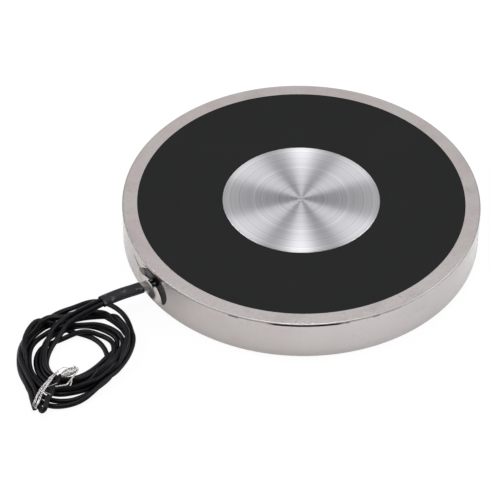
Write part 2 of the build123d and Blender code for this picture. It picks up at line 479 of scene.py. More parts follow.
@dataclass(frozen=True)
class Finish(ABC):
    """A surface finish that belongs to one of the record's material slots.

    Attributes:
        slot: The record's slot.
        colour: The finish's main colour, linear.
        roughness: Its mean roughness.
        roughness_range: How far an uneven gloss goes below and above that.
    """

    slot: Slot
    colour: Colour
    roughness: float
    roughness_range: tuple[float, float] = (0.0, 0.0)

    @abstractmethod
    def wire(self, shader: SurfaceShader) -> None:
        """Wires the finish's own nodes.

        Args:
            shader: The material's tree.
        """

    def uneven(self, shader: SurfaceShader, noise: Socket) -> Socket:
        """Lets the roughness follow a noise.

        Args:
            shader: The material's tree.
            noise: The noise.

        Returns:
            The roughness at each place.
        """
        low, high = self.roughness_range
        return shader.spread(noise, *NOISE_RANGE, self.roughness + low, self.roughness + high)

    def make(self) -> bpy.types.Material:
        """Makes the material.

        Returns:
            The finished material.
        """
        shader = SurfaceShader(self.slot.value)
        shader.plain(Base_Color=(*self.colour, 1.0), Roughness=self.roughness)
        self.wire(shader)
        return shader.material


@dataclass(frozen=True)
class NickelPlate(Finish):
    """Satin nickel over turned steel, with a rubbed outer edge, painted light and shade, and marks
    round the pocket.

    Attributes:
        edge_roughness: Roughness of the rubbed edge.
        warm: Colour of its warmer patches.
        dull: Colour of its clouds and its grain.
        bright: Colour of the painted light on the wall's lit side and on the top's front.
        rubbed: Colour of the rubbed edge, painted darker to dim its highlight.
        front_edge_shade: Colour of the edge at the front, painted darker still to dim its highlight
            there.
        speck_tone: Colour of its specks.
        edge_reflection_tone: Colour of the painted dark reflections under the edge.
        warmth: Its warmer patches.
        cloud: Its clouds, which its gloss follows too.
        grain: Its grain.
        specks: Its specks.
        peel: Its faint orange peel.
        peel_relief: The peel's relief.
        lit_side_bearing: Where painted light brightens the wall, in degrees from +X.
        lit_side_reach: Where that starts and is full, as shares of the pot's radius.
        front_bearing: Where painted light brightens the top and painted shade darkens the edge.
        front_reach: Where that starts and is full.
        front_light_strength: How much of the top's painted light shows.
        wall_shade: How much painted shade darkens the wall against the top.
        edge_radius: The pot's radius.
        face_height: The pot's height.
        edge_round: Rounding of its outer edge.
        line_width: Width of the painted dark reflections.
        line_soft: How far their long sides fade.
        line_ends: How much of a line each of its ends fades over.
        line_inside: How far inside the wall they fade out.
        edge_reflections: The painted dark reflections under the edge.
        marks: A thin dark line above the pocket, painted dark reflections below it and painted
            shade beside it.
    """

    slot: Slot = Slot.NICKEL_PLATE
    colour: Colour = (0.608, 0.569, 0.55)
    roughness: float = 0.17
    roughness_range: tuple[float, float] = (-0.03, 0.07)
    edge_roughness: float = 0.55
    warm: Colour = (0.608, 0.523, 0.529)
    dull: Colour = (0.48, 0.458, 0.44)
    bright: Colour = (0.70, 0.66, 0.66)
    rubbed: Colour = (0.42, 0.397, 0.39)
    front_edge_shade: Colour = (0.31, 0.293, 0.288)
    speck_tone: Colour = (0.25, 0.23, 0.225)
    edge_reflection_tone: Colour = (0.012, 0.010, 0.012)
    warmth: Mottle = Mottle(104.5, 0.43, 0.6, 1.0, 3.0, 0.6, (1.0, 1.0, 0.8))
    cloud: Mottle = Mottle(95.0, 0.5, 0.72, 0.8, 4.0, 0.6)
    grain: Mottle = Mottle(1100.0, 0.35, 0.75, 0.3)
    specks: Mottle = Mottle(650.0, 0.68, 0.76, 0.18, 1.0)
    peel: Mottle = Mottle(700.0)
    peel_relief: Relief = Relief(0.000012, 0.6)
    lit_side_bearing: float = -62.0
    lit_side_reach: tuple[float, float] = (0.3, 0.9)
    front_bearing: float = -120.0
    front_reach: tuple[float, float] = (0.4, 0.75)
    front_light_strength: float = 0.5
    wall_shade: float = 0.23
    edge_radius: float = 50.0
    face_height: float = 12.0
    edge_round: float = 0.5
    line_width: float = 0.55
    line_soft: float = 0.03
    line_ends: float = 0.12
    line_inside: float = 0.1
    # painted dark reflections just under the outer edge
    edge_reflections: tuple[EdgeReflection, ...] = (
        EdgeReflection(-148.2, -144.6, 0.6),
        EdgeReflection(-136.4, -110.9, 1.0),
        EdgeReflection(-111.6, -110.2, 0.6),
        EdgeReflection(-102.9, -100.3, 0.5),
        EdgeReflection(-99.2, -92.5, 0.22),
    )
    marks: tuple[Mark, ...] = (
        Mark((-49.0, 9.6, 8.55), (1.0, 0.8, 0.5), 0.9, (0.012, 0.011, 0.011), 0.6),
        Mark((-49.1, 9.15, 8.4), (1.0, 0.9, 0.55), 0.95, (0.008, 0.007, 0.007), 0.6),
        Mark((-49.2, 8.7, 8.2), (1.0, 0.9, 0.55), 0.95, (0.008, 0.007, 0.007), 0.6),
        Mark((-49.3, 8.2, 8.0), (1.0, 0.9, 0.55), 0.95, (0.008, 0.007, 0.007), 0.6),
        Mark((-49.4, 7.7, 7.75), (1.0, 0.9, 0.6), 0.95, (0.008, 0.007, 0.007), 0.6),
        Mark((-49.5, 7.2, 7.4), (1.0, 0.9, 0.7), 0.95, (0.008, 0.007, 0.007), 0.6),
        # painted dark reflection below the sleeve
        Mark((-49.3, 0.4, 1.5), (2.0, 2.3, 1.8), 0.97, (0.045, 0.04, 0.052), 0.5),
        Mark((-49.4, 1.6, 2.7), (2.0, 2.0, 1.6), 0.93, (0.085, 0.078, 0.086), 0.4),
        # painted shade on the pot beside the pocket
        Mark((-47.8, 13.0, 6.0), (4.0, 9.0, 8.0), 0.4, (0.30, 0.285, 0.28), 0.4),
    )

    def inside_wall(self, share: float) -> float:
        """Gives the radius that lies a share of the edge's rounding inside the wall, in metres."""
        return (self.edge_radius - share * self.edge_round) * MM

    def below_face(self, share: float) -> float:
        """Gives the height that lies a share of the edge's rounding below the face, in metres."""
        return (self.face_height - share * self.edge_round) * MM

    def toward(self, shader: SurfaceShader, bearing: float, reach: tuple[float, float]) -> Socket:
        """Picks out the part of the pot that lies towards a bearing.

        Args:
            shader: The material's tree.
            bearing: The bearing, in degrees from +X.
            reach: Where the part starts and has its full strength, as shares of the pot's radius.

        Returns:
            The strength, from 0 to 1.
        """
        start, full = (share * self.edge_radius * MM for share in reach)
        return shader.spread(shader.along(bearing), start, full)

    def plate(self, shader: SurfaceShader, cloud: Socket, front: Socket) -> Socket:
        """Colours the top and the wall, with painted light on both and painted shade on the wall.

        Args:
            shader: The material's tree.
            cloud: The noise of its clouds.
            front: How far each place lies towards the front.

        Returns:
            The colour.
        """
        tone = shader.mottled(self.colour, self.warmth, self.warm)
        # painted light: the wall is brightened towards one bearing
        lit_side = self.toward(shader, self.lit_side_bearing, self.lit_side_reach)
        wall = shader.spread(shader.radius(), self.inside_wall(1.0), self.inside_wall(0.0))
        tone = shader.blend(shader.product(lit_side, wall), tone, self.bright)
        # painted light: the top is brightened towards the front
        above = shader.calc("SUBTRACT", 1.0, wall)
        tone = shader.blend(shader.product(front, above, self.front_light_strength), tone, self.bright)
        # painted shade darkening the whole wall
        tone = shader.blend(shader.product(wall, self.wall_shade), tone, BLACK)
        tone = shader.blend(shader.shown(cloud, self.cloud), tone, self.dull)
        tone = shader.mottled(tone, self.grain, self.dull)
        return shader.mottled(tone, self.specks, self.speck_tone)

    def edge(self, shader: SurfaceShader) -> Socket:
        """Picks out the rounded edge between the top and the wall.

        Args:
            shader: The material's tree.

        Returns:
            1 on the edge and 0 away from it.
        """
        _, _, height = shader.axes()
        outside = shader.spread(shader.radius(), self.inside_wall(0.9), self.inside_wall(0.5))
        above = shader.spread(height, self.below_face(1.2), self.below_face(0.7))
        return shader.product(outside, above)

    def lined(self, shader: SurfaceShader, tone: Socket) -> Socket:
        """Lays the painted dark reflections under the edge over a colour.

        Args:
            shader: The material's tree.
            tone: The colour.

        Returns:
            The colour with its painted reflections.
        """
        _, _, height = shader.axes()
        bearing = shader.bearing()
        top, inner = self.below_face(0.4), self.inside_wall(1.2)
        strip = shader.band(height, top - self.line_width * MM, top, self.line_soft * MM)
        outside = shader.spread(shader.radius(), inner, inner + self.line_inside * MM)
        strip = shader.product(strip, outside)
        for line in self.edge_reflections:
            ends = self.line_ends * (line.end - line.start)
            reach = shader.band(bearing, line.start, line.end, ends)
            tone = shader.blend(shader.product(strip, reach, line.strength), tone, self.edge_reflection_tone)
        return tone

    def wire(self, shader: SurfaceShader) -> None:
        """Wires cloudy colour, uneven gloss, the edge, painted light and shade, and the marks round
        the pocket.

        Args:
            shader: The material's tree.
        """
        shader.plain(Metallic=1.0)
        cloud = shader.noise(self.cloud)
        front = self.toward(shader, self.front_bearing, self.front_reach)
        edge = self.edge(shader)
        # painted shade: the edge's colour is lowered to dim its highlight, most towards the front
        edge_shading = shader.blend(front, self.front_edge_shade, self.rubbed)
        tone = shader.blend(edge, self.plate(shader, cloud, front), edge_shading)
        shader.paint(shader.marked(self.lined(shader, tone), self.marks))
        gloss = self.uneven(shader, cloud)
        rubbed = shader.product(edge, shader.calc("SUBTRACT", self.edge_roughness, gloss))
        shader.gloss(shader.calc("ADD", gloss, rubbed))
        shader.raise_by(shader.noise(self.peel), self.peel_relief)


@dataclass(frozen=True)
class TurnedFace(Finish):
    """Bright face-turned steel with fine rings round the axis, duller towards its middle.

    Attributes:
        middle_colour: Colour at its middle.
        middle_roughness: Roughness at its middle.
        middle_power: How fast the roughness leaves that.
        face_radius: The pole's radius.
        rings: Its fine rings, and how dark both kinds of rings are.
        bands: Its broader rings.
        fine_share: How much of the rings' tone the fine ones make.
        ring_relief: The fine rings' relief.
        anisotropy: How far its gloss is stretched across the rings.
    """

    slot: Slot = Slot.TURNED_STEEL
    colour: Colour = (0.745, 0.74, 0.77)
    roughness: float = 0.475
    middle_colour: Colour = (0.59, 0.585, 0.615)
    middle_roughness: float = 0.66
    middle_power: float = 0.7
    face_radius: float = 22.0
    rings: Mottle = Mottle(1700.0, 0.35, 0.65, 0.28, rough=0.6)
    bands: Mottle = Mottle(420.0, rough=0.6)
    fine_share: float = 0.75
    ring_relief: Relief = Relief(0.000003)
    anisotropy: float = 0.97

    def wire(self, shader: SurfaceShader) -> None:
        """Wires the rings and the stretched gloss across them.

        Args:
            shader: The material's tree.
        """
        tangent = shader.node("ShaderNodeTangent", direction_type="RADIAL", axis="Z")
        shader.feed(shader.surface.inputs["Tangent"], tangent.outputs["Tangent"])
        shader.plain(Metallic=1.0, Anisotropic=self.anisotropy, Anisotropic_Rotation=0.25)
        out = shader.radius()
        share = shader.spread(out, 0.0, self.face_radius * MM)
        tone = shader.blend(share, self.middle_colour, self.colour)
        along = shader.lined_up(out)
        fine = shader.noise(self.rings, along)
        broad = shader.product(shader.noise(self.bands, along), 1.0 - self.fine_share)
        both = shader.calc("MULTIPLY_ADD", fine, self.fine_share, broad)
        dark = shader.spread(both, self.rings.low, self.rings.high, self.rings.strength, 0.0)
        shader.paint(shader.blend(dark, tone, BLACK))
        ramp = shader.calc("POWER", share, self.middle_power)
        change = self.roughness - self.middle_roughness
        shader.gloss(shader.calc("MULTIPLY_ADD", ramp, change, self.middle_roughness))
        shader.raise_by(fine, self.ring_relief)


@dataclass(frozen=True)
class CastResin(Finish):
    """Matt black casting resin, ground level with the face, with patches and a painted shadow in
    the cable pocket.

    Attributes:
        dust: Colour of its dusty patches.
        patches: Those patches.
        grain: Its grain, which its gloss follows too.
        grain_relief: The grain's relief.
        bore_radius: Radius of the pot's bore, outside which the resin is the pocket's.
        pocket_edge: How far the pocket's finish takes to start.
        pocket_colour: Colour in the pocket.
        pocket_roughness: Roughness in the pocket.
        marks: The pocket's lighter and darker patches, the last of them a painted shadow by the
            leads.
    """

    slot: Slot = Slot.RESIN
    colour: Colour = (0.0092, 0.0095, 0.0095)
    roughness: float = 0.6
    roughness_range: tuple[float, float] = (-0.05, 0.1)
    dust: Colour = (0.0115, 0.0118, 0.0118)
    patches: Mottle = Mottle(60.0, 0.4, 0.75, 0.5, 3.0)
    grain: Mottle = Mottle(2500.0)
    grain_relief: Relief = Relief(0.00001, 0.4)
    bore_radius: float = 45.8
    pocket_edge: float = 0.3
    pocket_colour: Colour = (0.014, 0.0122, 0.0108)
    pocket_roughness: float = 0.5
    marks: tuple[Mark, ...] = (
        Mark((-49.0, 6.6, 5.9), (2.0, 2.2, 2.2), 0.95, (0.24, 0.225, 0.2), 0.6),
        Mark((-48.8, 3.2, 6.9), (2.0, 1.9, 1.6), 0.9, (0.14, 0.12, 0.155), 0.4),
        Mark((-48.8, -2.3, 6.6), (2.0, 1.0, 1.1), 0.7, (0.04, 0.034, 0.045), 0.3),
        # painted shadow by the leads
        Mark((-48.8, -0.9, 8.3), (2.0, 2.6, 1.8), 0.95, (0.004, 0.004, 0.006), 0.4),
    )

    def wire(self, shader: SurfaceShader) -> None:
        """Wires a faint uneven tone, a very fine grain, and the pocket's patches and painted
        shadow.

        Args:
            shader: The material's tree.
        """
        shader.plain(Specular_IOR_Level=0.11)
        start = self.bore_radius * MM
        pocket = shader.spread(shader.radius(), start, (self.bore_radius + self.pocket_edge) * MM)
        face = shader.mottled(self.colour, self.patches, self.dust)
        shader.paint(shader.blend(pocket, face, shader.marked(self.pocket_colour, self.marks)))
        grain = shader.noise(self.grain)
        flat = self.uneven(shader, grain)
        change = shader.product(pocket, shader.calc("SUBTRACT", self.pocket_roughness, flat))
        shader.gloss(shader.calc("ADD", flat, change))
        shader.raise_by(grain, self.grain_relief)


@dataclass(frozen=True)
class ClearSleeving(Finish):
    """Clear sleeving gone grey-brown over black leads.

    Attributes:
        pale: Colour of its paler patches.
        cloud: Those patches.
        cut_end: Where its cut end lies along X.
        glint_reach: How far beyond that its painted glint starts, and is full.
        cut_glint_tone: Colour of the painted glint on its cut end.
    """

    slot: Slot = Slot.CLEAR_SLEEVING
    colour: Colour = (0.165, 0.153, 0.147)
    roughness: float = 0.22
    pale: Colour = (0.32, 0.30, 0.287)
    cloud: Mottle = Mottle(500.0, 0.4, 0.7, stretch=(1.0, 0.6, 0.6))
    cut_end: float = -50.5
    glint_reach: tuple[float, float] = (0.45, 0.2)
    cut_glint_tone: Colour = (0.85, 0.85, 0.83)

    def wire(self, shader: SurfaceShader) -> None:
        """Wires cloudy patches, a smooth coat and a painted glint on its cut end.

        Args:
            shader: The material's tree.
        """
        shader.plain(Coat_Weight=0.6, Coat_Roughness=0.12)
        tone = shader.mottled(self.colour, self.cloud, self.pale)
        # painted highlight along the cut end
        x, _, _ = shader.axes()
        start, full = ((self.cut_end - reach) * MM for reach in self.glint_reach)
        shader.paint(shader.blend(shader.spread(x, start, full), tone, self.cut_glint_tone))


@dataclass(frozen=True)
class BlackSleeving(Finish):
    """Black shrunk sleeving, satin, with pale patches.

    Attributes:
        pale_tone: Colour of its pale patches.
        patches: Where it is pale.
        dust: The spots of each pale patch, which its gloss and its ripples follow too.
        ripple_relief: The ripples' relief.
    """

    slot: Slot = Slot.BLACK_SLEEVING
    colour: Colour = (0.010, 0.010, 0.0125)
    roughness: float = 0.45
    roughness_range: tuple[float, float] = (-0.06, 0.12)
    pale_tone: Colour = (0.13, 0.125, 0.14)
    patches: Mottle = Mottle(420.0, 0.56, 0.7, stretch=(1.0, 1.6, 1.0))
    dust: Mottle = Mottle(260.0, 0.42, 0.6, 1.0, 3.0, 0.65)
    ripple_relief: Relief = Relief(0.00008, 0.5)

    def wire(self, shader: SurfaceShader) -> None:
        """Wires pale patches, a dusty tone and slight ripples.

        Args:
            shader: The material's tree.
        """
        shader.plain(Specular_IOR_Level=0.25)
        dust = shader.noise(self.dust)
        patches = shader.shown(shader.noise(self.patches), self.patches)
        share = shader.product(patches, shader.shown(dust, self.dust))
        shader.paint(shader.blend(share, self.colour, self.pale_tone))
        shader.gloss(self.uneven(shader, dust))
        shader.raise_by(dust, self.ripple_relief)


@dataclass(frozen=True)
class LeadInsulation(Finish):
    """Black extruded insulation with a soft shine.

    Attributes:
        dust: Colour of its dusty bloom.
        bloom: That bloom, which its gloss follows too.
        skin: Its unevenness.
        skin_relief: The unevenness's relief.
        marks: Painted light lifting the leads' start, and painted glints on it.
    """

    slot: Slot = Slot.LEAD_INSULATION
    colour: Colour = (0.0022, 0.0022, 0.0036)
    roughness: float = 0.38
    roughness_range: tuple[float, float] = (-0.05, 0.1)
    dust: Colour = (0.006, 0.006, 0.0085)
    bloom: Mottle = Mottle(180.0, 0.45, 0.75, 0.8, 3.0)
    skin: Mottle = Mottle(900.0)
    skin_relief: Relief = Relief(0.00003, 0.5)
    marks: tuple[Mark, ...] = (
        # painted light lifting the leads where they leave the resin
        Mark((-49.7, 0.0, 6.2), (1.1, 3.0, 2.0), 0.9, (0.02, 0.021, 0.021), 0.5),
        # painted glints
        Mark((-49.6, 0.55, 6.8), (0.75, 0.28, 0.35), 0.9, (0.42, 0.46, 0.44), 0.3),
        Mark((-49.5, -0.95, 6.7), (0.6, 0.25, 0.3), 0.9, (0.35, 0.39, 0.37), 0.3),
        Mark((-49.9, -1.4, 6.1), (0.5, 0.25, 0.3), 0.85, (0.3, 0.33, 0.32), 0.3),
    )

    def wire(self, shader: SurfaceShader) -> None:
        """Wires a faint dusty bloom, a slight unevenness, and the painted light and glints at the
        cable pocket.

        Args:
            shader: The material's tree.
        """
        shader.plain(Specular_IOR_Level=0.16)
        bloom = shader.noise(self.bloom)
        tone = shader.blend(shader.shown(bloom, self.bloom), self.colour, self.dust)
        shader.paint(shader.marked(tone, self.marks))
        shader.gloss(self.uneven(shader, bloom))
        shader.raise_by(shader.noise(self.skin), self.skin_relief)


@dataclass(frozen=True)
class TinnedCopper(Finish):
    """Bright tinned strands.

    Attributes:
        tarnish: Colour of their tarnish.
        stain: Where they are tarnished.
        tin: The tin's unevenness.
        tin_relief: The unevenness's relief.
    """

    slot: Slot = Slot.TINNED_COPPER
    colour: Colour = (0.56, 0.54, 0.535)
    roughness: float = 0.28
    tarnish: Colour = (0.24, 0.22, 0.21)
    stain: Mottle = Mottle(700.0, 0.5, 0.75, 1.0, 3.0)
    tin: Mottle = Mottle(2200.0)
    tin_relief: Relief = Relief(0.00002, 0.6)

    def wire(self, shader: SurfaceShader) -> None:
        """Wires light tarnish.

        Args:
            shader: The material's tree.
        """
        shader.plain(Metallic=1.0)
        shader.paint(shader.mottled(self.colour, self.stain, self.tarnish))
        shader.raise_by(shader.noise(self.tin), self.tin_relief)


@dataclass(frozen=True)
class BobbinNylon(Finish):
    """Natural moulded nylon.

    Attributes:
        shade: Colour of its deeper patches.
        milk: Those patches.
        skin: Its unevenness.
        skin_relief: The unevenness's relief.
    """

    slot: Slot = Slot.BOBBIN_PLASTIC
    colour: Colour = (0.62, 0.59, 0.50)
    roughness: float = 0.45
    shade: Colour = (0.52, 0.48, 0.38)
    milk: Mottle = Mottle(90.0, 0.4, 0.7)
    skin: Mottle = Mottle(1500.0, detail=1.0)
    skin_relief: Relief = Relief(0.00002, 0.5)

    def wire(self, shader: SurfaceShader) -> None:
        """Wires a milky unevenness.

        Args:
            shader: The material's tree.
        """
        shader.plain(Subsurface_Weight=0.15, Subsurface_Radius=(0.0006, 0.0005, 0.0004))
        shader.paint(shader.mottled(self.colour, self.milk, self.shade))
        shader.raise_by(shader.noise(self.skin), self.skin_relief)


@dataclass(frozen=True)
class EnamelledCopper(Finish):
    """Copper wire under clear enamel, laid in close turns.

    Attributes:
        groove_shade: Painted shade between the turns.
        gap_depth: How high on a turn that colour ends, as a share of the turn's height.
        wire_size: Diameter of the wire.
    """

    slot: Slot = Slot.ENAMELLED_COPPER
    colour: Colour = (0.50, 0.19, 0.075)
    roughness: float = 0.25
    groove_shade: Colour = (0.12, 0.035, 0.012)
    gap_depth: float = 0.5
    wire_size: float = 0.5

    def wire(self, shader: SurfaceShader) -> None:
        """Wires one ridge for each turn of the wire, painted shade between the turns, and the clear
        enamel over it.

        Args:
            shader: The material's tree.
        """
        shader.plain(Metallic=0.9, Coat_Weight=0.8, Coat_Roughness=0.1)
        ridge = shader.ridges(2.0 * math.pi / (self.wire_size * MM))
        # painted shade in the grooves between the turns
        shader.paint(shader.blend(shader.spread(ridge, 0.0, self.gap_depth), self.groove_shade, self.colour))
        shader.raise_by(ridge, Relief(self.wire_size * MM / 4))


@dataclass(frozen=True)
class WindingTape(Finish):
    """Yellow polyester tape, glossy, with the winding's turns showing through.

    Attributes:
        edge: Colour of its creases.
        creases: Those creases.
        ridge_rate: How fast the turns under it follow each other, in radians for each metre.
        ridge_relief: Their relief.
    """

    slot: Slot = Slot.COIL_TAPE
    colour: Colour = (0.62, 0.42, 0.03)
    roughness: float = 0.22
    edge: Colour = (0.42, 0.26, 0.02)
    creases: Mottle = Mottle(150.0, 0.45, 0.7, 1.0, 3.0, 0.5, (1.0, 1.0, 0.3))
    ridge_rate: float = 9000.0
    ridge_relief: Relief = Relief(0.00003, 0.5)

    def wire(self, shader: SurfaceShader) -> None:
        """Wires shallow ridges and deeper creases.

        Args:
            shader: The material's tree.
        """
        shader.paint(shader.mottled(self.colour, self.creases, self.edge))
        shader.raise_by(shader.ridges(self.ridge_rate), self.ridge_relief)


@dataclass(frozen=True)
class SolderJoint(Finish):
    """Dull solder, flowed and slightly frosted.

    Attributes:
        frost: Colour of its frosted patches.
        patches: Those patches, which its relief follows too.
        flow_relief: That relief.
    """

    slot: Slot = Slot.SOLDER
    colour: Colour = (0.58, 0.58, 0.6)
    roughness: float = 0.35
    frost: Colour = (0.4, 0.4, 0.41)
    patches: Mottle = Mottle(900.0, 0.45, 0.65, 1.0, 3.0)
    flow_relief: Relief = Relief(0.00005, 0.6)

    def wire(self, shader: SurfaceShader) -> None:
        """Wires frosty patches.

        Args:
            shader: The material's tree.
        """
        shader.plain(Metallic=1.0)
        patches = shader.noise(self.patches)
        shader.paint(shader.blend(shader.shown(patches, self.patches), self.colour, self.frost))
        shader.raise_by(patches, self.flow_relief)


class FinishRack:
    """Makes each finish once and hands it out by its slot."""

    def __init__(self, finishes: Iterable[Finish]) -> None:
        """Makes the materials.

        Args:
            finishes: One finish for each slot.
        """
        self.materials = {finish.slot: finish.make() for finish in finishes}

    def dress(self, piece: bpy.types.Object, slot: Slot) -> None:
        """Gives a piece the material of one slot.

        Args:
            piece: The piece.
            slot: The slot.
        """
        if not piece.material_slots:
            piece.data.materials.append(self.materials[slot])
        for holder in piece.material_slots:
            holder.material = self.materials[slot]

    def dress_node(self, node: str, slot: Slot) -> bpy.types.Object:
        """Gives a CAD node the material of one slot.

        Args:
            node: The node's name.
            slot: The slot.

        Returns:
            The node's object.
        """
        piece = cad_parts[node]
        self.dress(piece, slot)
        return piece


def link(name: str, data: bpy.types.ID) -> bpy.types.Object:
    """Makes an object and puts it in the scene.

    Args:
        name: The object's name.
        data: Its mesh, curve, lamp or camera.

    Returns:
        The new object.
    """
    made = bpy.data.objects.new(name, data)
    bpy.context.scene.collection.objects.link(made)
    return made


def through(points: np.ndarray, steps: int) -> np.ndarray:
    """Draws a smooth line through points, a cubic from each to the next.

    Args:
        points: The points, one in each row.
        steps: Steps between one point and the next.

    Returns:
        Points along the line, the given ones among them.
    """
    padded = np.vstack([2 * points[0] - points[1], points, 2 * points[-1] - points[-2]])
    line = []
    for before, start, end, after in zip(padded, padded[1:], padded[2:], padded[3:]):
        for t in np.arange(steps) / steps:
            straight = 2 * start + (end - before) * t
            curved = (2 * before - 5 * start + 4 * end - after) * t**2
            line.append(0.5 * (straight + curved + (3 * start - before - 3 * end + after) * t**3))
    return np.array([*line, points[-1]])


def run_length(line: np.ndarray) -> float:
    """Gives the length of a line through points."""
    return float(np.linalg.norm(np.diff(line, axis=0), axis=1).sum())


def evenly(line: np.ndarray, spacing: float) -> np.ndarray:
    """Spaces points evenly along a line.

    Args:
        line: The line's points.
        spacing: About how far apart the new points are.

    Returns:
        The new points, both ends kept.
    """
    run = np.concatenate([[0.0], np.cumsum(np.linalg.norm(np.diff(line, axis=0), axis=1))])
    places = np.linspace(0.0, run[-1], max(2, round(run[-1] / spacing) + 1))
    return np.stack([np.interp(places, run, line[:, axis]) for axis in range(3)], axis=1)


def unit(ways: np.ndarray) -> np.ndarray:
    """Brings directions to length 1, one in each row."""
    return ways / np.linalg.norm(ways, axis=-1, keepdims=True)


@dataclass
class TubeMesh:
    """Round tubes with closed, flat ends, gathered into one mesh.

    Attributes:
        sides: Sides of each tube.
        lean: A direction that no tube starts in, from which its first ring is turned.
        points: The mesh's points so far.
        faces: Its faces so far.
    """

    sides: int = 8
    lean: Point = (0.3, 0.5, 0.8)
    points: list[Point] = field(default_factory=list)
    faces: list[tuple[int, ...]] = field(default_factory=list)

    def add(self, path: np.ndarray, radius: float) -> None:
        """Adds one tube.

        Args:
            path: The points that its middle follows.
            radius: Its radius.
        """
        way = unit(np.gradient(path, axis=0))
        across = np.cross(way[0], self.lean)
        start = len(self.points)
        turn = 2 * np.pi * np.arange(self.sides) / self.sides
        for here, ahead in zip(path, way):
            across = across - ahead * (across @ ahead)
            across /= np.linalg.norm(across)
            up = np.cross(ahead, across)
            ring = here + radius * (np.outer(np.cos(turn), across) + np.outer(np.sin(turn), up))
            self.points.extend(map(tuple, ring))
        for row in range(len(path) - 1):
            base = start + row * self.sides
            for k in range(self.sides):
                near, far = base + k, base + (k + 1) % self.sides
                self.faces.append((near, far, far + self.sides, near + self.sides))
        last = start + (len(path) - 1) * self.sides
        self.faces.append(tuple(range(start + self.sides - 1, start - 1, -1)))
        self.faces.append(tuple(range(last, last + self.sides)))

    def piece(self, name: str) -> bpy.types.Object:
        """Makes the object.

        Args:
            name: The object's name.

        Returns:
            The new object.
        """
        mesh = bpy.data.meshes.new(name)
        mesh.from_pydata(self.points, [], self.faces)
        mesh.polygons.foreach_set("use_smooth", [True] * len(mesh.polygons))
        mesh.update()
        return link(name, mesh)


@dataclass(frozen=True)
class Turn:
    """One loose turn of a lead round the hank's middle.

    Attributes:
        reach: Distances from the middle at twelve even bearings, in millimetres.
        lift: Heights at the four quarter bearings, in lead diameters above the table.
    """

    reach: tuple[float, ...]
    lift: tuple[float, ...]


@dataclass(frozen=True)
class LeadLay:
    """How one lead lies in the hank.

    Attributes:
        number: The lead's number, as in its node's name.
        side: The side of the sleeves that it leaves from.
        turns: Its turns, in order from the sleeves.
        ending: Given points of its free end, in millimetres.
    """

    number: int
    side: Side
    turns: tuple[Turn, ...]
    ending: tuple[Point, ...]


@dataclass(frozen=True)
class Settling:
    """How the turns come to rest on the table and on each other.

    Attributes:
        rounds: Rounds of settling.
        falling: Share of the rounds in which the turns fall.
        drop: How far they fall in a round.
        pull: How strongly they keep to their places seen from above.
        smooth: How strongly each point is drawn between its neighbours.
        closest: Least distance between two leads' middles, in diameters.
        near: Distance within which two points are watched, in diameters.
        own: Length along a lead within which its own points aren't watched, in diameters.
        renew: Rounds after which the watched pairs are found again.
        passes: Passes that part the leads in each round.
        push: How much further than needed they are parted.
    """

    rounds: int = 260
    falling: float = 0.8
    drop: float = 0.03
    pull: float = 0.2
    smooth: float = 0.35
    closest: float = 0.99
    near: float = 2.0
    own: float = 3.0
    renew: int = 10
    passes: int = 3
    push: float = 1.2


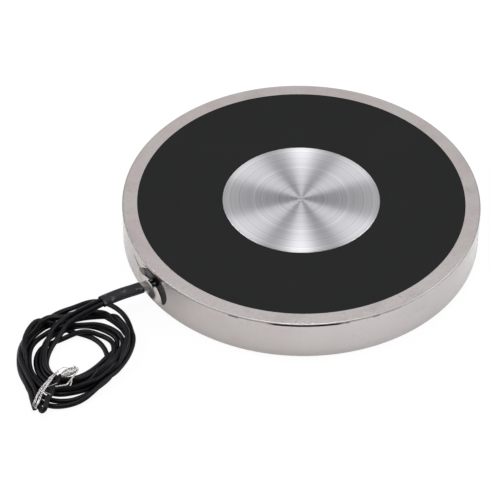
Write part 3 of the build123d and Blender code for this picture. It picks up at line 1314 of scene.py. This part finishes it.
@dataclass
class LeadPair:
    """The two leads, from the resin in the cable pocket to their stripped ends.

    Attributes:
        diameter: Diameter over the insulation.
        pitch: Distance between the leads inside the sleeves.
        route: Points from the resin through the sleeves, as in the part's source.
        middle: The hank's middle.
        tilt: Bearing of the hank's long way, in degrees.
        narrowness: The hank's short way against its long way.
        first_bearing: Bearing at which the first turn starts, in degrees.
        reach_step: Degrees from one reach of a turn to the next.
        lift_step: Degrees from one lift of a turn to the next.
        steps: Steps between one wound point and the next.
        spacing: Distance between the points that settle.
        thinning: How many settled points there are to each control point of the turns.
        settling: How the turns come to rest.
        lays: How each lead lies.
        paths: Each built lead's centreline in millimetres, by its number.
    """

    diameter: float = 1.4
    pitch: float = 1.5
    route: tuple[Point, ...] = (
        (-48.5, 0.0, 6.0),
        (-53.5, 0.1, 6.3),
        (-59.5, 0.5, 7.0),
        (-65.5, 1.2, 6.6),
    )
    middle: tuple[float, float] = (-79.0, -5.5)
    tilt: float = 40.0
    narrowness: float = 0.8
    first_bearing: float = 30.0
    reach_step: float = 30.0
    lift_step: float = 90.0
    steps: int = 12
    spacing: float = 0.8
    thinning: int = 3
    settling: Settling = Settling()
    lays: tuple[LeadLay, ...] = (
        LeadLay(
            1,
            Side.UPPER,
            (
                Turn(
                    (17.5, 12.0, 10.0, 8.2, 9.0, 10.3, 11.4, 12.4, 13.0, 14.5, 13.25, 9.0),
                    (3.4, 3.0, 0.9, 1.3),
                ),
                Turn(
                    (6.75, 6.0, 6.5, 10.0, 11.7, 12.1, 13.4, 14.4, 15.25, 17.0, 16.75, 12.5),
                    (1.0, 0.3, 0.8, 1.5),
                ),
                Turn(
                    (9.5, 9.25, 11.25, 13.75, 13.9, 14.0, 14.7, 15.1, 15.9, 17.5, 18.75, 16.75),
                    (1.0, 1.2, 1.0, 0.9),
                ),
                Turn(
                    (15.75, 15.0, 15.75, 16.5, 16.5, 17.0, 20.3, 19.6, 17.7, 18.3, 20.0, 21.0),
                    (0.0, 0.0, 0.0, 0.3),
                ),
                Turn(
                    (20.5, 16.0, 15.0, 15.75, 17.0),
                    (0.0, 0.8),
                ),
            ),
            ((-95.9, -12.2, 2.1), (-97.0, -15.3, 2.2), (-97.9, -17.9, 2.2), (-98.25, -19.1, 2.2)),
        ),
        LeadLay(
            2,
            Side.LOWER,
            (
                Turn(
                    (12.75, 8.75, 6.6, 6.9, 8.0, 9.8, 10.3, 10.4, 10.75, 13.0, 15.5, 12.25),
                    (3.4, 2.8, 0.8, 1.0),
                ),
                Turn(
                    (10.5, 9.5, 9.5, 9.25, 10.0, 11.0, 11.75, 12.5, 13.0, 13.0, 10.0, 8.0),
                    (0.0, 0.6, 0.4, 0.0),
                ),
                Turn(
                    (7.25, 8.5, 14.75, 15.5, 15.2, 15.5, 16.1, 15.4, 15.9, 17.6, 18.5, 16.5),
                    (0.2, 1.4, 0.5, 1.0),
                ),
                Turn(
                    (13.75, 12.25, 14.5, 15.75, 16.0, 16.4, 18.2, 18.3, 16.8, 17.5, 19.25, 16.25),
                    (0.3, 0.0, 0.0, 0.0),
                ),
                Turn(
                    (14.75, 13.0, 14.25, 15.5, 16.25),
                    (1.1, 1.0),
                ),
            ),
            (
                (-95.4, -14.5, 2.0),
                (-96.4, -17.4, 2.1),
                (-96.9, -19.1, 2.15),
                (-97.2, -20.3, 2.3),
                (-97.43, -21.08, 2.53),
                (-97.2, -21.6, 3.1),
                (-96.58, -21.64, 3.7),
                (-96.05, -21.1, 3.95),
                (-95.4, -20.45, 4.05),
                (-94.5, -19.5, 4.2),
                (-93.1, -18.7, 4.3),
                (-91.8, -17.6, 4.4),
                (-89.3, -15.8, 4.5),
                (-87.5, -14.6, 4.5),
            ),
        ),
    )
    paths: dict[int, np.ndarray] = field(default_factory=dict)

    def bearing_point(self, bearing: float, reach: float, lift: float) -> Point:
        """Gives a place in the hank.

        Args:
            bearing: The bearing from the hank's long way, in degrees.
            reach: The distance from the middle before the short way is narrowed.
            lift: The height in lead diameters above the table.

        Returns:
            The place in the row frame, in millimetres.
        """
        along = reach * math.cos(math.radians(bearing))
        across = reach * math.sin(math.radians(bearing)) * self.narrowness
        cos, sin = math.cos(math.radians(self.tilt)), math.sin(math.radians(self.tilt))
        x = self.middle[0] + along * cos - across * sin
        y = self.middle[1] + along * sin + across * cos
        return (x, y, self.diameter * (0.5 + lift))

    def wind(self, lay: LeadLay) -> tuple[np.ndarray, int]:
        """Winds one lead's turns before they settle.

        Args:
            lay: How the lead lies.

        Returns:
            Points along its turns and its free end, and how many of them are the free end's.
        """
        reaches = [reach for turn in lay.turns for reach in turn.reach]
        lifts = [lift for turn in lay.turns for lift in turn.lift]
        quarters = self.lift_step * np.arange(len(lifts))
        bearings = self.reach_step * np.arange(len(reaches))
        points = [
            self.bearing_point(bearing, reach, float(np.interp(bearing, quarters, lifts)))
            for bearing, reach in zip(bearings, reaches)
            if bearing >= self.first_bearing
        ]
        line = through(np.array([*points, *lay.ending]), self.steps)
        free = line[-self.steps * (len(lay.ending) - 1) - 1 :]
        return evenly(line, self.spacing), round(run_length(free) / self.spacing)

    def watched(self, points: np.ndarray, owner: np.ndarray) -> tuple[np.ndarray, np.ndarray]:
        """Finds the pairs of points that may come to touch.

        Args:
            points: The points of both leads.
            owner: The lead that each belongs to.

        Returns:
            The first and the second point of each pair.
        """
        distance = np.linalg.norm(points[:, None, :] - points[None, :, :], axis=2)
        first, second = np.nonzero(np.triu(distance < self.settling.near * self.diameter, 1))
        own = self.settling.own * self.diameter / self.spacing
        apart = (owner[first] != owner[second]) | (second - first > own)
        return first[apart], second[apart]

    def parted(self, points: np.ndarray, first: np.ndarray, second: np.ndarray) -> np.ndarray:
        """Parts the points of each pair that is closer than the leads are thick.

        Args:
            points: The points of both leads.
            first: The first point of each pair.
            second: The second point of each pair.

        Returns:
            The parted points.
        """
        away = points[second] - points[first]
        distance = np.maximum(np.linalg.norm(away, axis=1), 1e-6)
        close = np.maximum(self.settling.closest * self.diameter - distance, 0.0) / distance
        push = away * (0.5 * close)[:, None]
        pushes = sum(np.bincount(ends, close > 0, len(points)) for ends in (first, second))
        shift = np.zeros_like(points)
        np.add.at(shift, second, push)
        np.add.at(shift, first, -push)
        return points + shift / np.maximum(pushes, 1.0)[:, None] * self.settling.push

    def settle(self, lines: Sequence[np.ndarray], held: Sequence[int]) -> list[np.ndarray]:
        """Lets the turns fall on the table and on each other, round the free ends, which stay.

        Args:
            lines: Each lead's points before settling.
            held: How many of each lead's last points keep their places.

        Returns:
            Each lead's points after settling.
        """
        way = self.settling
        points = np.vstack(lines)
        target = points.copy()
        still = np.concatenate([
            np.arange(len(line)) >= len(line) - count for line, count in zip(lines, held)
        ])
        owner = np.concatenate([np.full(len(line), index) for index, line in enumerate(lines)])
        inner = np.arange(len(points))[1:-1][owner[:-2] == owner[2:]]
        for step in range(way.rounds):
            if step % way.renew == 0:
                first, second = self.watched(points, owner)
            if step < way.falling * way.rounds:
                points[:, 2] -= way.drop
            points[:, :2] += way.pull * (target[:, :2] - points[:, :2])
            between = (points[inner - 1] + points[inner + 1]) / 2
            points[inner] += way.smooth * (between - points[inner])
            for _ in range(way.passes):
                points = self.parted(points, first, second)
                points[:, 2] = np.maximum(points[:, 2], self.diameter / 2)
                points[still] = target[still]
        least = np.linalg.norm(points[second] - points[first], axis=1).min()
        height = points[:, 2].max() + self.diameter / 2
        LOG.info("hank settled, nearest leads %.2f mm apart, height %.2f mm", least, height)
        return [points[owner == index] for index in range(len(lines))]

    def curve(self, name: str, points: np.ndarray) -> bpy.types.Object:
        """Makes a round smooth cord.

        Args:
            name: The object's name.
            points: Its control points, in millimetres.

        Returns:
            The new curve object.
        """
        data = bpy.data.curves.new(name, "CURVE")
        data.dimensions = "3D"
        data.resolution_u = 4
        data.bevel_depth = self.diameter * MM / 2
        data.bevel_resolution = 6
        data.use_fill_caps = True
        spline = data.splines.new("NURBS")
        spline.points.add(len(points) - 1)
        for control, place in zip(spline.points, points * MM):
            control.co = (*place, 1.0)
        spline.order_u = 3
        spline.use_endpoint_u = True
        return link(name, data)

    def centreline(self, cord: bpy.types.Object) -> np.ndarray:
        """Reads the line that a cord follows.

        Args:
            cord: The cord's curve object.

        Returns:
            Points along it, in millimetres.
        """
        bare = cord.data.copy()
        bare.bevel_depth = 0.0
        holder = bpy.data.objects.new("line_reader", bare)
        mesh = bpy.data.meshes.new_from_object(holder)
        line = np.array([vertex.co[:] for vertex in mesh.vertices]) / MM
        bpy.data.objects.remove(holder)
        bpy.data.curves.remove(bare)
        bpy.data.meshes.remove(mesh)
        return line

    def build(self) -> dict[int, bpy.types.Object]:
        """Builds both leads.

        Returns:
            The cords, by the lead's number.
        """
        wound = [self.wind(lay) for lay in self.lays]
        held = [count for _, count in wound]
        settled = self.settle([line for line, _ in wound], held)
        cords = {}
        for lay, turns, count in zip(self.lays, settled, held):
            start = np.array(self.route) + (0.0, lay.side.value * self.pitch / 2, 0.0)
            control = np.vstack([start, turns[: -count : self.thinning], turns[-count:]])
            cord = self.curve(f"lead_{lay.number}_cord", control)
            self.paths[lay.number] = self.centreline(cord)
            cords[lay.number] = cord
        return cords

    def length(self, number: int) -> float:
        """Gives the length of a built lead, in metres."""
        return run_length(self.paths[number]) * MM


@dataclass
class BareEnds:
    """The stripped ends of the leads, whose strands are bent back over the hank.

    Attributes:
        strand: Diameter of one strand.
        steps: Steps between one point of a strand and the next.
        fold: Start of the first lead's sheaf, from the lead's end.
        sheaf: The rest of the sheaf's middle.
        sheaf_half: Half width of the sheaf at its start and at its end.
        sheaf_taper: Shares of its length at which it starts to narrow and is at its narrowest.
        sheaf_mouth: How open it starts, and the share of its length after which it is open.
        offsets: Where each of its strands lies across it, from -1 to 1.
        shortened: How many points each of its strands is shorter than the sheaf.
        sway: How far its strands sway, in half widths, how often, and how they differ.
        rise: How far its strands rise and sink, and how they differ.
        stray: Strands that have left the sheaf.
        curl_start: Start of the second lead's tuft, from the lead's end.
        curl_line: The rest of the tuft's middle.
        curl_steps: Steps between one point of the tuft's middle and the next.
        curl_strands: Strands of the tuft.
        curl: Turns that they are curled in.
        curl_spread: How much those turns differ, and how fast from strand to strand.
        swell: Radius of the tuft at its ends, and how much it grows to its middle.
        swell_spread: How much that radius differs, and how fast from strand to strand.
        flatness: The tuft's height against its width.
        tail: Middle of the strands that hang together out of the tuft.
        tail_offsets: Where each of them lies from that.
        branches: Strands that leave the tail.
    """

    strand: float = 0.17
    steps: int = 8
    fold: tuple[Point, ...] = ((0.1, 0.4, 0.0), (0.0, -0.1, 0.4), (0.15, 0.15, 1.0))
    sheaf: tuple[Point, ...] = (
        (-97.4, -18.55, 3.75),
        (-96.0, -17.5, 4.2),
        (-94.1, -16.3, 4.7),
        (-92.1, -15.4, 5.1),
        (-90.3, -14.6, 5.4),
        (-88.8, -14.1, 5.5),
        (-87.4, -13.5, 5.6),
    )
    sheaf_half: tuple[float, float] = (0.8, 0.3)
    sheaf_taper: tuple[float, float] = (0.2, 1.0)
    sheaf_mouth: tuple[float, float] = (0.35, 0.25)
    offsets: tuple[float, ...] = (-1.0, -0.72, -0.48, -0.3, 0.28, 0.55, 0.78, 1.0)
    shortened: tuple[int, ...] = (0, 9, 3, 12, 0, 6, 15, 4)
    sway: tuple[float, float, float] = (0.1, 9.0, 2.4)
    rise: tuple[float, float] = (0.22, 2.9)
    stray: tuple[tuple[Point, ...], ...] = (
        (
            (-88.4, -13.9, 5.5),
            (-87.4, -13.5, 5.6),
            (-86.4, -13.3, 5.6),
            (-85.5, -13.5, 5.6),
            (-85.1, -14.3, 5.6),
            (-85.2, -15.2, 5.5),
        ),
        ((-88.3, -13.8, 5.6), (-89.4, -14.05, 5.6), (-91.0, -14.3, 5.4)),
        ((-92.9, -16.3, 5.0), (-92.1, -16.8, 5.2), (-91.2, -17.0, 5.3), (-90.1, -17.0, 5.3)),
        ((-94.6, -17.4, 4.7), (-94.1, -17.9, 4.9), (-93.8, -18.6, 4.9), (-93.5, -19.3, 4.9)),
    )
    curl_start: Point = (-0.6, -0.4, 0.0)
    curl_line: tuple[Point, ...] = (
        (-86.6, -15.2, 5.2),
        (-85.4, -15.4, 5.4),
        (-84.2, -15.5, 5.4),
        (-83.1, -15.4, 5.3),
    )
    curl_steps: int = 34
    curl_strands: int = 5
    curl: float = 5.5
    curl_spread: tuple[float, float] = (0.06, 2.0)
    swell: tuple[float, float] = (0.35, 0.75)
    swell_spread: tuple[float, float] = (0.16, 3.0)
    flatness: float = 0.75
    tail: tuple[Point, ...] = (
        (-83.6, -14.6, 5.9),
        (-82.9, -15.8, 5.5),
        (-84.0, -16.7, 5.35),
        (-85.5, -17.5, 5.3),
        (-87.0, -18.2, 5.2),
        (-88.4, -18.8, 5.2),
        (-89.7, -18.3, 5.2),
        (-91.1, -17.7, 5.1),
    )
    tail_offsets: tuple[Point, ...] = ((0.0, -0.15, 0.0), (0.0, 0.0, 0.1), (0.0, 0.15, 0.0))
    branches: tuple[tuple[Point, ...], ...] = (
        ((-86.0, -17.8, 5.3), (-86.9, -18.8, 5.2), (-87.8, -19.6, 5.1)),
        ((-86.0, -17.8, 5.3), (-86.65, -18.8, 5.2), (-87.7, -19.7, 5.1)),
    )

    def add(self, tubes: TubeMesh, line: np.ndarray) -> None:
        """Adds one strand along a line in millimetres."""
        tubes.add(line * MM, self.strand * MM / 2)

    def lay(self, tubes: TubeMesh, points: Sequence[Point] | np.ndarray) -> None:
        """Lays one strand through points in millimetres."""
        self.add(tubes, through(np.array(points), self.steps))

    def first(self, end: np.ndarray) -> bpy.types.Object:
        """Builds the flat sheaf that is folded back from the first lead.

        Args:
            end: The lead's end, in millimetres.

        Returns:
            The sheaf.
        """
        tubes = TubeMesh()
        path = through(np.vstack([end + np.array(self.fold), self.sheaf]), self.steps)
        share = np.linspace(0.0, 1.0, len(path))
        side = unit(np.cross(path[-1] - path[0], UP))
        mouth, open_after = self.sheaf_mouth
        opened = np.clip(share / open_after, mouth, 1.0)
        half = opened * np.interp(share, self.sheaf_taper, self.sheaf_half)
        sway, waves, sway_step = self.sway
        rise, rise_step = self.rise
        for k, (across, shortened) in enumerate(zip(self.offsets, self.shortened)):
            wander = sway * np.sin(waves * share + sway_step * k)
            height = rise * math.sin(rise_step * k) * opened
            line = path + side * (half * (across + wander))[:, None] + UP * height[:, None]
            self.add(tubes, line[: len(path) - shortened])
        for points in self.stray:
            self.lay(tubes, points)
        return tubes.piece("bare_strands_1_loose")

    def second(self, end: np.ndarray) -> bpy.types.Object:
        """Builds the curled strands of the second lead.

        Args:
            end: The lead's end, in millimetres.

        Returns:
            The strands.
        """
        tubes = TubeMesh()
        spine = through(np.vstack([end + self.curl_start, self.curl_line]), self.curl_steps)
        share = np.linspace(0.0, 1.0, len(spine))
        way = unit(np.gradient(spine, axis=0))
        side = unit(np.cross(way, UP))
        up = np.cross(side, way)
        thin, more = self.swell
        curl_change, curl_step = self.curl_spread
        swell_change, swell_step = self.swell_spread
        for k in range(self.curl_strands):
            turns = self.curl * share * (1.0 + curl_change * math.sin(curl_step * k))
            angle = 2 * np.pi * (turns + k / self.curl_strands)
            swell = thin + more * np.sin(np.pi * share)
            swell *= 1.0 + swell_change * math.sin(swell_step * k)
            level = side * (swell * np.cos(angle))[:, None]
            raised = up * (self.flatness * swell * np.sin(angle))[:, None]
            self.add(tubes, spine + level + raised)
        for offset in self.tail_offsets:
            self.lay(tubes, np.array(self.tail) + offset)
        for points in self.branches:
            self.lay(tubes, points)
        return tubes.piece("bare_strands_2_curled")


@dataclass
class CableSet:
    """Leads, sleeves and bare ends, dressed.

    Attributes:
        leads: The leads.
        ends: Their stripped ends.
        sleeves: The sleeves' nodes, with their finishes.
    """

    leads: LeadPair = field(default_factory=LeadPair)
    ends: BareEnds = field(default_factory=BareEnds)
    sleeves: dict[str, Slot] = field(
        default_factory=lambda: {
            "clear_sleeve": Slot.CLEAR_SLEEVING,
            "black_sleeve": Slot.BLACK_SLEEVING,
        }
    )

    def build(self, rack: FinishRack) -> list[bpy.types.Object]:
        """Args:
            rack: The finishes.

        Returns:
            Its pieces.
        """
        cords = self.leads.build()
        sleeves = [rack.dress_node(node, slot) for node, slot in self.sleeves.items()]
        strands = {
            1: self.ends.first(self.leads.paths[1][-1]),
            2: self.ends.second(self.leads.paths[2][-1]),
        }
        for number, cord in cords.items():
            rack.dress(cord, Slot.LEAD_INSULATION)
            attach(cord, BODY)
            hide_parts(f"lead_{number}", "lead_hank")
            rack.dress(strands[number], Slot.TINNED_COPPER)
            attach(strands[number], BODY)
            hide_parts(f"bare_strands_{number}")
            round(self.leads.length(number), 3)
            LOG.info("lead %d is %.3f m long", number, self.leads.length(number))
        return [*cords.values(), *strands.values(), *sleeves]


@dataclass
class DressedNodes:
    """Nodes that keep their CAD shape.

    Attributes:
        nodes: Each node's finish.
    """

    nodes: dict[str, Slot]

    def build(self, rack: FinishRack) -> list[bpy.types.Object]:
        """Dresses the nodes.

        Args:
            rack: The finishes.

        Returns:
            The nodes' objects.
        """
        return [rack.dress_node(node, slot) for node, slot in self.nodes.items()]


@dataclass
class MagnetBody(DressedNodes):
    """The pot, the pole and the resin between them."""

    nodes: dict[str, Slot] = field(
        default_factory=lambda: {
            "magnet_pot": Slot.NICKEL_PLATE,
            "centre_pole": Slot.TURNED_STEEL,
            "potting_resin": Slot.RESIN,
        }
    )


@dataclass
class CoilPack(DressedNodes):
    """What the resin hides: bobbin, winding, tape, wire ends and their joints to the leads."""

    nodes: dict[str, Slot] = field(
        default_factory=lambda: {
            "coil_bobbin": Slot.BOBBIN_PLASTIC,
            "coil_winding": Slot.ENAMELLED_COPPER,
            "coil_tape": Slot.COIL_TAPE,
            "start_tail": Slot.ENAMELLED_COPPER,
            "finish_tail": Slot.ENAMELLED_COPPER,
            "splice_sleeve_1": Slot.BLACK_SLEEVING,
            "splice_sleeve_2": Slot.BLACK_SLEEVING,
            "solder_joint_1": Slot.SOLDER,
            "solder_joint_2": Slot.SOLDER,
            "lead_tail_1": Slot.LEAD_INSULATION,
            "lead_tail_2": Slot.LEAD_INSULATION,
        }
    )


@dataclass(frozen=True)
class Lamp:
    """A soft lamp aimed at the magnet.

    Attributes:
        name: The lamp's name.
        bearing: Where it stands round the magnet, in degrees from +X.
        elevation: How high it stands, in degrees.
        distance: How far away it stands, in metres.
        width: Its width in metres.
        height: Its height in metres.
        level: What it adds to the brightness of a white surface that faces it.
    """

    name: str
    bearing: float
    elevation: float
    distance: float
    width: float
    height: float
    level: float

    def build(self) -> bpy.types.Object:
        """Builds the lamp.

        Returns:
            The lamp's object.
        """
        data = bpy.data.lights.new(self.name, "AREA")
        data.shape = "RECTANGLE"
        data.size, data.size_y = self.width, self.height
        data.energy = self.level * (math.pi * self.distance) ** 2
        lamp = link(self.name, data)
        bearing, elevation = math.radians(self.bearing), math.radians(self.elevation)
        lamp.rotation_euler = (math.pi / 2 - elevation, 0.0, bearing + math.pi / 2)
        level = math.cos(elevation)
        way = Vector((level * math.cos(bearing), level * math.sin(bearing), math.sin(elevation)))
        lamp.location = way * self.distance
        return lamp


@dataclass
class Studio:
    """Pale floor, white surround, soft lamps and the camera.

    Attributes:
        floor_tone: The floor's colour.
        floor_width: The floor's width in metres.
        floor_glow: How far the floor is lifted to plain white where it is looked at.
        mirrored_glow: How far it is lifted where metal and glass mirror it.
        peak: How bright the surround is where the flat faces mirror it to the camera.
        around: How bright it is away from there.
        peak_range: Where it starts to brighten and is at its peak, from 1 where it is mirrored.
        front: How bright it is on the camera's side, against the far side.
        front_range: Where the camera's side ends and the far side starts, from -1 to 1.
        camera_place: Where the camera stands, in metres.
        camera_pitch: Its tilt up from straight down, in degrees.
        camera_turn: Its turn about the vertical, in degrees.
        camera_range: The nearest and the farthest that it sees, in metres.
        lens: Its focal length in millimetres.
        sensor: Its sensor's width in millimetres.
        lamps: The lamps.
    """

    floor_tone: float = 0.95
    floor_width: float = 6.0
    floor_glow: float = 0.93
    mirrored_glow: float = 0.2
    peak: float = 0.785
    around: float = 0.35
    peak_range: tuple[float, float] = (0.49, 0.93)
    front: float = 0.7
    front_range: tuple[float, float] = (-0.7, 0.58)
    camera_place: Point = (-0.3027, -0.4167, 0.4739)
    camera_pitch: float = 47.03
    camera_turn: float = -34.25
    camera_range: tuple[float, float] = (0.01, 20.0)
    lens: float = 182.0
    sensor: float = 36.0
    lamps: tuple[Lamp, ...] = (
        Lamp("overhead_lamp", 55.75, 90.0, 1.2, 0.3, 0.55, 0.305),
        Lamp("left_lamp", 145.75, 34.0, 1.2, 1.15, 0.52, 0.59),
        Lamp("right_lamp", -34.25, 34.0, 1.2, 1.15, 0.52, 0.59),
    )

    def floor_material(self) -> bpy.types.Material:
        """Makes the floor's material, white where it is looked at or mirrored.

        Returns:
            The material.
        """
        shader = SurfaceShader("pale_floor")
        grey = (self.floor_tone, self.floor_tone, self.floor_tone, 1.0)
        shader.plain(Roughness=0.9, Specular_IOR_Level=0.0, Base_Color=grey)
        path = shader.node("ShaderNodeLightPath").outputs
        seen = shader.product(path["Is Camera Ray"], self.floor_glow)
        mirrored = shader.calc("MAXIMUM", path["Is Glossy Ray"], path["Is Transmission Ray"])
        mirrored = shader.product(mirrored, self.mirrored_glow)
        white = shader.node("ShaderNodeEmission")
        mixed = shader.node("ShaderNodeMixShader")
        shader.feed(mixed.inputs["Fac"], shader.calc("MAXIMUM", seen, mirrored))
        shader.feed(mixed.inputs[1], shader.surface.outputs["BSDF"])
        shader.feed(mixed.inputs[2], white.outputs["Emission"])
        output = next(n for n in shader.tree.nodes if n.type == "OUTPUT_MATERIAL")
        shader.feed(output.inputs["Surface"], mixed.outputs["Shader"])
        return shader.material

    def floor(self) -> bpy.types.Object:
        """Builds the floor, which keeps the magnet's shadow.

        Returns:
            The floor.
        """
        half = self.floor_width / 2
        mesh = bpy.data.meshes.new("floor")
        corners = [(-half, -half, 0.0), (half, -half, 0.0), (half, half, 0.0), (-half, half, 0.0)]
        mesh.from_pydata(corners, [], [(0, 1, 2, 3)])
        mesh.materials.append(self.floor_material())
        floor = link("floor", mesh)
        return floor

    def surroundings(self) -> bpy.types.World:
        """Sets the surround, white to the camera and graded as light.

        Returns:
            The surround.
        """
        world = bpy.data.worlds.new("white_surround")
        bpy.context.scene.world = world
        graph = NodeGraph(world, "Generated")
        _, _, z = graph.axes()
        rise = math.radians(90.0 - self.camera_pitch)
        back = graph.along(90.0 + self.camera_turn)
        level = graph.product(back, math.cos(rise))
        mirrored = graph.calc("ADD", level, graph.product(z, math.sin(rise)))
        lit = graph.spread(mirrored, *self.peak_range, self.around, self.peak)
        tone = graph.product(lit, graph.spread(back, *self.front_range, self.front, 1.0))
        path = graph.node("ShaderNodeLightPath").outputs
        light = graph.tree.nodes["Background"]
        light.inputs["Color"].default_value = (1.0, 1.0, 1.0, 1.0)
        graph.feed(light.inputs["Strength"], graph.calc("MAXIMUM", tone, path["Is Camera Ray"]))
        return world

    def camera(self) -> bpy.types.Object:
        """Builds the camera at the photograph's viewing angle.

        Returns:
            The camera.
        """
        data = bpy.data.cameras.new("camera")
        data.lens = self.lens
        data.sensor_width = self.sensor
        data.clip_start, data.clip_end = self.camera_range
        camera = link("camera", data)
        camera.location = self.camera_place
        pitch, turn = math.radians(self.camera_pitch), math.radians(self.camera_turn)
        camera.rotation_euler = (pitch, 0.0, turn)
        bpy.context.scene.camera = camera
        return camera

    def build(self) -> None:
        """Builds the whole studio, and reports each part of it."""
        for part in (self.camera(), self.floor(), self.surroundings()):
            LOG.info("%s: %s", type(self).__name__, part.name)
        for lamp in self.lamps:
            LOG.info("%s: %s", type(self).__name__, lamp.build().name)
        bpy.context.scene.view_settings.view_transform = "Standard"


def main() -> None:
    """Builds the studio and the magnet, and reports each piece."""
    logging.basicConfig(level=logging.INFO, format="%(name)s: %(message)s")
    Studio().build()
    rack = FinishRack([
        NickelPlate(),
        TurnedFace(),
        CastResin(),
        ClearSleeving(),
        BlackSleeving(),
        LeadInsulation(),
        TinnedCopper(),
        BobbinNylon(),
        EnamelledCopper(),
        WindingTape(),
        SolderJoint(),
    ])
    for assembly in (CableSet(), MagnetBody(), CoilPack()):
        for piece in assembly.build(rack):
            LOG.info("%s: %s", type(assembly).__name__, piece.name)


if __name__ == "__main__":
    main()
